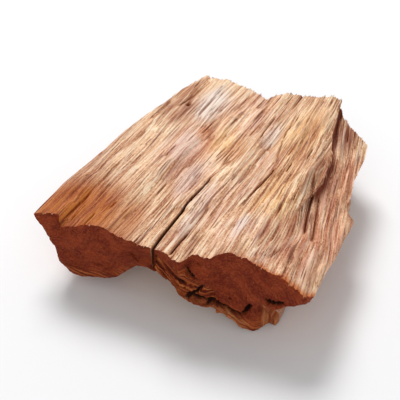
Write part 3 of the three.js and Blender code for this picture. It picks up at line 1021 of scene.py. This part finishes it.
cut = Finish("cut heartwood")
blotches = cut.remap(cut.noise(5, 5, detail=2.0), *CONTRAST)
specks = cut.remap(cut.noise(0.8, 0.8, detail=2.0, shift=10), *CONTRAST)
sheets = cut.remap(cut.noise(0.9, 9, detail=2.0, shift=20, place="layers"), *CONTRAST)
cut_wood = cut.mix(blotches, CUT_DARK, CUT_RED)
cut_wood = cut.mix(cut.times(sheets, 0.25), cut_wood, SHEET_RED)
cut_wood = cut.mix(cut.times(specks, 0.38), cut_wood, SPECK_TAN)
cut_wood = cut.mix(cut.times(cut.dashes(0.9, 0.9, size=0.26), 0.6), cut_wood, PORE_BROWN)

# %% Torn orange strips, the pale slivers below them, and painted shade in the hollows
TORN_TONES = {0.38: (96, 34, 18), 0.52: (154, 68, 32), 0.66: (200, 116, 62)}
SLIVER_TONES = {0.32: (138, 66, 35), 0.5: (168, 92, 52), 0.68: (196, 126, 80)}
HOLLOW_PAINTED_SHADE = colour(34, 12, 8)

torn_streaks = cut.noise(0.6, 9, shift=30, place="layers")
cut_wood = cut.mix(cut.times(cut.stored("torn"), 0.9), cut_wood, cut.ramp(torn_streaks, TORN_TONES))
cut_wood = cut.mix(cut.stored("pulled"), cut_wood, cut.ramp(torn_streaks, SLIVER_TONES))
cut_wood = cut.mix(cut.remap(cut.stored("depth"), 0.3, 1.6, 0, 0.93), cut_wood, HOLLOW_PAINTED_SHADE)
cut.give("Base Color", cut_wood)
cut.give("Roughness", 0.9)
cut.give("Specular IOR Level", 0.15)
cut.give("Normal", cut.bump(specks, 0.5 * MM, 0.7))
print("steps in the cut finish:", len(cut.tree.nodes))

# %% Dress the piece, and make it stand for the solid
mesh.materials.append(split.material)
mesh.materials.append(cut.material)
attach(chunk, "root")
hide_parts("kino_wood_chunk")

# %% [markdown]
# ## Loose fibres
#
# Where wood is torn, single fibres stand off: along the rims of both ends, on the ledge, on the lips of
# the crack and on the thin edge. One tapered fibre is made once, and Geometry Nodes copies it to each
# chosen spot.

# %% Zones of the upper face: columns, rows, count, front or back, lengths in mm, lean outwards, lean up
LAST_COLUMN = shape[0] - 1
LAST_ROW = shape[1] - 1
LEDGE_COLUMN = int(np.flatnonzero(group[:, 0, 0] == "middle")[-1])
CRACK_COLUMN = int(np.flatnonzero(group[:, 0, 0] == "crack")[0])
FIBRE_ZONES = [
    ((0, LAST_COLUMN), (0, 0), 24, -1, (0.3, 0.8), (-0.3, 0.3), (-0.4, 0)),
    ((0, LAST_COLUMN), (LAST_ROW, LAST_ROW), 80, 1, (0.4, 1.3), (-0.4, 0.4), (-0.3, 0.1)),
    ((LEDGE_COLUMN - 4, LEDGE_COLUMN), (26, LAST_ROW - 2), 60, -1, (1.5, 4), (0, 0.35), (-0.1, 0.15)),
    ((CRACK_COLUMN - 3, CRACK_COLUMN), (2, 36), 20, -1, (1, 2.5), (0, 0.2), (0, 0.15)),
    ((LAST_COLUMN - 5, LAST_COLUMN), (2, LAST_ROW - 2), 45, -1, (0.6, 2), (0, 0.3), (-0.1, 0.15)),
    ((6, LAST_COLUMN - 6), (3, LAST_ROW - 3), 50, -1, (2.5, 6), (-0.05, 0.05), (0, 0.04)),
    ((6, LAST_COLUMN - 6), (3, LAST_ROW - 3), 50, 1, (2.5, 6), (-0.05, 0.05), (0, 0.04)),
]
FIBRE_SEED = 509
ROWS_TO_AIM_BY = 4

# %% Choose a spot, a direction and a length for each fibre
chance = np.random.default_rng(FIBRE_SEED)
upper_face = to_frame(np.stack((x, y, z), axis=-1)[:, :, -1])
spots, turns, lengths = [], [], []
for columns, rows, count, facing, length_range, lean_out, lean_up in FIBRE_ZONES:
    for _ in range(count):
        i, j = chance.integers(columns[0], columns[1] + 1), chance.integers(rows[0], rows[1] + 1)
        run = upper_face[i, min(j + ROWS_TO_AIM_BY, LAST_ROW)] - upper_face[i, max(j - ROWS_TO_AIM_BY, 0)]
        aim = facing * run / np.linalg.norm(run)
        aim += (between(*lean_out, chance.random()), 0, between(*lean_up, chance.random()))
        aim /= np.linalg.norm(aim)
        spots.append(upper_face[i, j])
        turns.append((math.acos(aim[2]), 0, math.atan2(aim[0], -aim[1])))
        lengths.append(between(*length_range, chance.random()) * MM)
fibre_mesh = bpy.data.meshes.new("loose_fibres")
fibre_mesh.from_pydata(np.array(spots).tolist(), [], [])
store(fibre_mesh, "turn", np.array(turns))
store(fibre_mesh, "length", np.array(lengths))
fibres = add_object("loose_fibres", fibre_mesh)
print("loose fibres:", len(spots))

# %% Colour of the loose fibres
FIBRE_BROWN = colour(160, 98, 62)
FIBRE_CREAM = colour(222, 180, 140)

loose = Finish("loose fibres")
loose_shade = loose.remap(loose.noise(2.5, 2.5), 0.35, 0.65)
loose.give("Base Color", loose.mix(loose_shade, FIBRE_BROWN, FIBRE_CREAM))
loose.give("Roughness", 0.7)

# %% The tree that copies one tapered fibre onto the spots
FIBRE_SIDES = 4
FIBRE_SEGMENTS = 2
RANDOM_LEAST = 2
RANDOM_NUMBER = 1

tree = bpy.data.node_groups.new("copy fibres", "GeometryNodeTree")
tree.interface.new_socket("Spots", in_out="INPUT", socket_type="NodeSocketGeometry")
for name in ("Thickness", "Least share", "Seed"):
    kind = "NodeSocketInt" if name == "Seed" else "NodeSocketFloat"
    tree.interface.new_socket(name, in_out="INPUT", socket_type=kind)
tree.interface.new_socket("Fibres", in_out="OUTPUT", socket_type="NodeSocketGeometry")

given = add_node(tree, "NodeGroupInput", {})
cone = add_node(tree, "GeometryNodeMeshCone", {"Vertices": FIBRE_SIDES, "Side Segments": FIBRE_SEGMENTS,
                                               "Radius Bottom": given["Thickness"], "Depth": 1})
turn = add_node(tree, "GeometryNodeInputNamedAttribute", {"Name": "turn"}, data_type="FLOAT_VECTOR")
length = add_node(tree, "GeometryNodeInputNamedAttribute", {"Name": "length"}, data_type="FLOAT")
sockets = {RANDOM_LEAST: given["Least share"], "Seed": given["Seed"]}
chance = add_node(tree, "FunctionNodeRandomValue", sockets)
width = chance[RANDOM_NUMBER]
stretch = add_node(tree, "ShaderNodeCombineXYZ", {0: width, 1: width, 2: length[0]})
sockets = {"Points": given["Spots"], "Instance": cone["Mesh"], "Rotation": turn[0], "Scale": stretch[0]}
copies = add_node(tree, "GeometryNodeInstanceOnPoints", sockets)
solid = add_node(tree, "GeometryNodeRealizeInstances", {0: copies[0]})
dressed = add_node(tree, "GeometryNodeSetMaterial", {0: solid[0], "Material": loose.material})
add_node(tree, "NodeGroupOutput", {0: dressed[0]})

# %% Run the tree and keep its result as a plain mesh inside the solid's box
FIBRE_SETTINGS = {"Thickness": 0.22 * MM, "Least share": 0.4, "Seed": 11}

copying = fibres.modifiers.new("copy fibres", "NODES")
copying.node_group = tree
for item in tree.interface.items_tree:
    if item.name in FIBRE_SETTINGS:
        copying[item.identifier] = FIBRE_SETTINGS[item.name]
evaluated = fibres.evaluated_get(bpy.context.evaluated_depsgraph_get())
copied = bpy.data.meshes.new_from_object(evaluated)
fibres.modifiers.clear()
fibres.data = copied
places = np.empty(len(copied.vertices) * 3)
copied.vertices.foreach_get("co", places)
places = np.clip(places.reshape(-1, 3), chunk_low, chunk_high)
copied.vertices.foreach_set("co", places.ravel())
store(copied, "grain", places / MM)
copied.update()
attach(fibres, "root")
print("loose fibre faces:", len(copied.polygons))

# %% [markdown]
# ## Floor and light
#
# A plain pale floor and soft studio light: a large soft lamp above and a little behind the chunk, so the
# fibres cast short shadows towards the viewer, a weak fill from the front, and an even pale surround.

# %% Floor
FLOOR_HALF = 3.0
FLOOR_CORNERS = [(x * FLOOR_HALF, y * FLOOR_HALF, 0) for x, y in ((-1, -1), (1, -1), (1, 1), (-1, 1))]
FLOOR_COLOUR = (0.85, 0.85, 0.86, 1)

floor_mesh = bpy.data.meshes.new("floor")
floor_mesh.from_pydata(FLOOR_CORNERS, [], [(0, 1, 2, 3)])
floor = add_object("floor", floor_mesh)
plaster = Finish("pale plaster")
plaster.give("Base Color", FLOOR_COLOUR)
plaster.give("Roughness", 0.8)
floor_mesh.materials.append(plaster.material)

# %% Lights
LAMP_AIM = np.array((0, 0, 0.02))
SURROUND_COLOUR = (1, 1, 1, 1)
SURROUND_STRENGTH = 0.45


def soft_lamp(name, place, size, watts):
    data = bpy.data.lights.new(name, "AREA")
    data.shape = "SQUARE"
    data.size = size
    data.energy = watts
    lamp = add_object(name, data)
    lamp.location = place
    direction = LAMP_AIM - np.array(place)
    yaw = math.atan2(direction[1], direction[0]) - math.pi / 2
    pitch = math.pi / 2 + math.atan2(direction[2], math.hypot(direction[0], direction[1]))
    lamp.rotation_euler = (pitch, 0, yaw)


soft_lamp("key", place=(-0.45, 0.55, 0.95), size=0.5, watts=11.5)
soft_lamp("fill", place=(0.5, -0.9, 0.7), size=0.9, watts=3)
world = bpy.data.worlds.new("surround")
world.use_nodes = True
surround = world.node_tree.nodes["Background"].inputs
surround["Color"].default_value = SURROUND_COLOUR
surround["Strength"].default_value = SURROUND_STRENGTH
bpy.context.scene.world = world
bpy.context.scene.view_settings.view_transform = "Standard"
